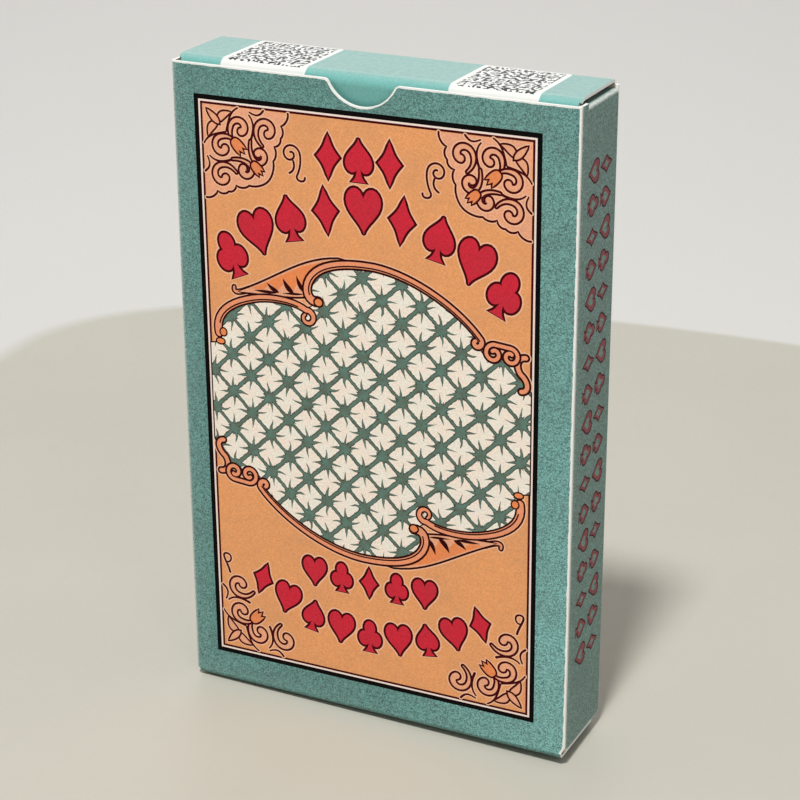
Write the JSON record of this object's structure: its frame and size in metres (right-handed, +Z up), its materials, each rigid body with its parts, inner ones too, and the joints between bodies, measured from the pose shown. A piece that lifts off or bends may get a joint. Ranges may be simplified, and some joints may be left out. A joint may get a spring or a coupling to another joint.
{
  "type": "cartomancy card deck",
  "caption": "Deck of fortune-telling cards with a stapled booklet in a printed tuck-top carton; hinged lid with tongue, dust flaps and thumb notch.",
  "frame": {"origin": "middle of the carton's bottom face", "axes": "+Z up along the cards' long edges, +X to the right seen from the front, front panel facing -Y"},
  "size_m": [0.0588, 0.0132, 0.0931],
  "materials": {
    "printed_board": "matte",
    "bare_board": "matte",
    "card_stock": "satin",
    "booklet_cover": "satin",
    "booklet_paper": "matte",
    "staple_wire": "satin"
  },
  "bodies": {
    "carton": {"front_panel": "printed_board", "back_panel": "printed_board", "left_side_panel": "printed_board", "right_side_panel": "printed_board", "glue_tab": "bare_board", "bottom_outer_flap": "printed_board", "bottom_inner_flap": "bare_board", "bottom_side_flap_left": "bare_board", "bottom_side_flap_right": "bare_board"},
    "lid": {"lid_panel": "printed_board"},
    "tongue": {"tuck_tongue": "printed_board"},
    "dust_flap_left": {"dust_flap_left": "printed_board"},
    "dust_flap_right": {"dust_flap_right": "printed_board"},
    "deck": {"card_01": "card_stock", "card_02": "card_stock", "card_03": "card_stock", "card_04": "card_stock", "card_05": "card_stock", "card_06": "card_stock", "card_07": "card_stock", "card_08": "card_stock", "card_09": "card_stock", "card_10": "card_stock", "card_11": "card_stock", "card_12": "card_stock", "card_13": "card_stock", "card_14": "card_stock", "card_15": "card_stock", "card_16": "card_stock", "card_17": "card_stock", "card_18": "card_stock", "card_19": "card_stock", "card_20": "card_stock", "card_21": "card_stock", "card_22": "card_stock", "card_23": "card_stock", "card_24": "card_stock", "card_25": "card_stock", "card_26": "card_stock", "card_27": "card_stock", "card_28": "card_stock", "card_29": "card_stock", "card_30": "card_stock", "card_31": "card_stock", "card_32": "card_stock"},
    "booklet": {"booklet_cover": "booklet_cover", "booklet_sheet_1": "booklet_paper", "booklet_sheet_2": "booklet_paper", "booklet_staples": "staple_wire"}
  },
  "joints": [
    {"name": "lid_hinge", "type": "hinge", "parent": "carton", "child": "lid", "pos_m": [0, 0.00638, 0.09287], "axis": [-1, 0, 0], "range_deg": [0, 110]},
    {"name": "tongue_fold", "type": "hinge", "parent": "lid", "child": "tongue", "pos_m": [0, -0.00494, 0.09238], "axis": [1, 0, 0], "range_deg": [0, 55]},
    {"name": "dust_flap_left_fold", "type": "hinge", "parent": "carton", "child": "dust_flap_left", "pos_m": [-0.02924, 0, 0.09184], "axis": [0, -1, 0], "range_deg": [0, 27.5]},
    {"name": "dust_flap_right_fold", "type": "hinge", "parent": "carton", "child": "dust_flap_right", "pos_m": [0.02924, 0, 0.09184], "axis": [0, 1, 0], "range_deg": [0, 27.5]},
    {"name": "deck_lift", "type": "slide", "parent": "carton", "child": "deck", "axis": [0, 0, 1], "range_m": [0, 0.0005]},
    {"name": "booklet_lift", "type": "slide", "parent": "carton", "child": "booklet", "axis": [0, 0, 1], "range_m": [0, 0.0032]}
  ],
  "couplings": [
    {"joint": "tongue_fold", "follows": "lid_hinge", "ratio": 0.5},
    {"joint": "dust_flap_left_fold", "follows": "lid_hinge", "ratio": 0.25},
    {"joint": "dust_flap_right_fold", "follows": "lid_hinge", "ratio": 0.25}
  ]
}
